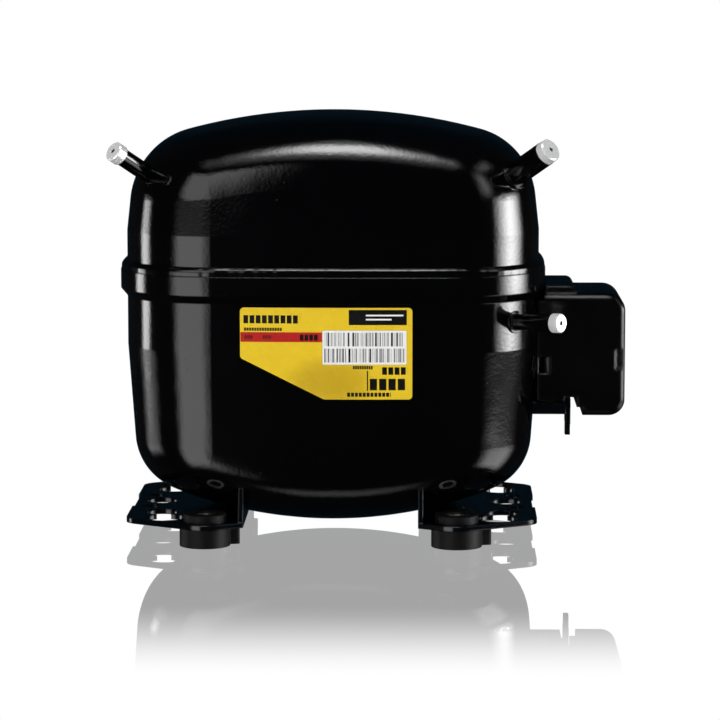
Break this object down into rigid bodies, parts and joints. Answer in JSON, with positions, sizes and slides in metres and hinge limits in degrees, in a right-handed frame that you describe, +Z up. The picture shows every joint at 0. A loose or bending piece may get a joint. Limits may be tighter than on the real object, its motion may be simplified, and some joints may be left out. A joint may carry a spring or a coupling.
{
  "type": "hermetic reciprocating compressor",
  "caption": "Hermetic refrigeration compressor: sprung motor and Scotch-yoke piston pump sealed in a black welded steel shell with capped tube connectors and a slide-off terminal cover.",
  "frame": {"origin": "centre of the four rubber feet, in the plane they rest on", "axes": "+X towards the terminal cover, +Y towards the back (the label faces -Y), +Z up along the shaft"},
  "size_m": [0.2553, 0.15, 0.2115],
  "materials": {
    "black_enamel": "gloss black enamel",
    "weld_enamel": "gloss black enamel over a weld bead",
    "rubber": "moulded rubber, matt",
    "zinc_steel": "zinc-plated steel",
    "seal_aluminium": "bare soft aluminium",
    "cover_plastic": "black moulded plastic",
    "label_film": "printed film",
    "glass": "sintered glass bead",
    "dark_plastic": "moulded plastic",
    "white_plastic": "moulded plastic",
    "cast_iron": "machined grey iron",
    "lamination": "stacked electrical steel",
    "copper": "enamelled copper winding",
    "aluminium": "die-cast aluminium",
    "spring_steel": "spring steel",
    "ground_steel": "ground steel",
    "gasket": "compressed fibre gasket",
    "steel_tube": "drawn steel tube",
    "lead_wire": "sleeved lead wire"
  },
  "bodies": {
    "housing": {"upper_shell": "black_enamel", "lower_shell": "black_enamel", "seam_weld": "weld_enamel", "base_plate_left": "black_enamel", "base_plate_right": "black_enamel", "rubber_grommets": "rubber", "grommet_sleeves": "zinc_steel", "suction_connector": "black_enamel", "process_connector": "black_enamel", "discharge_connector": "black_enamel", "terminal_body": "zinc_steel", "terminal_glass": "glass", "terminal_pins": "ground_steel", "lead_plug": "white_plastic", "start_relay": "white_plastic", "overload_protector": "dark_plastic", "cord_clamp": "dark_plastic", "terminal_bracket": "black_enamel", "earth_screw": "zinc_steel", "rating_label": "label_film", "spring_pegs": "zinc_steel", "lid_stop": "zinc_steel"},
    "pump_unit": {"spring_cups": "dark_plastic", "stator_core": "lamination", "stator_windings": "copper", "stator_bolts": "zinc_steel", "cylinder_block": "cast_iron", "thrust_washer": "ground_steel", "cylinder_gasket": "gasket", "valve_plate": "ground_steel", "head_gasket": "gasket", "cylinder_head": "aluminium", "head_bolts": "zinc_steel", "valve_stop": "spring_steel", "suction_muffler": "white_plastic", "suction_muffler_cover": "white_plastic", "discharge_muffler": "steel_tube", "suspension_springs": "spring_steel", "discharge_line": "steel_tube", "motor_leads": "lead_wire"},
    "crank": {"crankshaft": "cast_iron", "rotor_core": "lamination", "rotor_cage": "aluminium", "rotor_counterweight": "zinc_steel", "oil_pickup": "steel_tube"},
    "plug": {"gallery_plug": "ground_steel"},
    "piston": {"piston_yoke": "ground_steel"},
    "slider": {"slide_block": "cast_iron"},
    "suction_valve": {"suction_reed": "spring_steel"},
    "discharge_valve": {"discharge_reed": "spring_steel"},
    "suction_seal": {"suction_cap": "seal_aluminium"},
    "process_seal": {"process_cap": "seal_aluminium"},
    "discharge_seal": {"discharge_cap": "seal_aluminium"},
    "cover": {"terminal_cover": "cover_plastic"}
  },
  "joints": [
    {"name": "pump_float", "type": "slide", "parent": "housing", "child": "pump_unit", "axis": [0, 0, 1], "range_m": [-0.002, 0.003], "deforming": ["suspension_springs", "discharge_line", "motor_leads"]},
    {"name": "crank_spin", "type": "hinge", "parent": "pump_unit", "child": "crank", "pos_m": [-0.014, 0, 0.1018], "axis": [0, 0, 1], "continuous": true},
    {"name": "plug_turn", "type": "hinge", "parent": "crank", "child": "plug", "pos_m": [-0.014, 0.00475, 0.1668], "axis": [0, 0, 1], "continuous": true},
    {"name": "piston_drive", "type": "hinge", "parent": "plug", "child": "piston", "pos_m": [-0.014, 0, 0.1598], "axis": [0, 0, 1], "continuous": true},
    {"name": "slide_block_turn", "type": "hinge", "parent": "crank", "child": "slider", "pos_m": [-0.014, 0.0095, 0.1598], "axis": [0, 0, 1], "continuous": true},
    {"name": "suction_reed_bend", "type": "hinge", "parent": "pump_unit", "child": "suction_valve", "pos_m": [0.04658, -0.008, 0.1763], "axis": [0, 1, 0], "range_deg": [0, 4]},
    {"name": "discharge_reed_bend", "type": "hinge", "parent": "pump_unit", "child": "discharge_valve", "pos_m": [0.04982, 0.008, 0.1738], "axis": [0, -1, 0], "range_deg": [0, 4]},
    {"name": "suction_cap_pull", "type": "slide", "parent": "housing", "child": "suction_seal", "axis": [0.6346, -0.5896, 0.4997], "range_m": [0, 0.025]},
    {"name": "process_cap_pull", "type": "slide", "parent": "housing", "child": "process_seal", "axis": [-0.6346, -0.5896, 0.4997], "range_m": [0, 0.025]},
    {"name": "discharge_cap_pull", "type": "slide", "parent": "housing", "child": "discharge_seal", "axis": [0.7803, -0.6234, 0.05], "range_m": [0, 0.025]},
    {"name": "cover_slide", "type": "slide", "parent": "housing", "child": "cover", "axis": [1, 0, 0], "range_m": [0, 0.06]}
  ],
  "couplings": [
    {"joint": "plug_turn", "follows": "crank_spin", "ratio": -2},
    {"joint": "piston_drive", "follows": "crank_spin", "ratio": 1},
    {"joint": "slide_block_turn", "follows": "crank_spin", "ratio": -1}
  ]
}
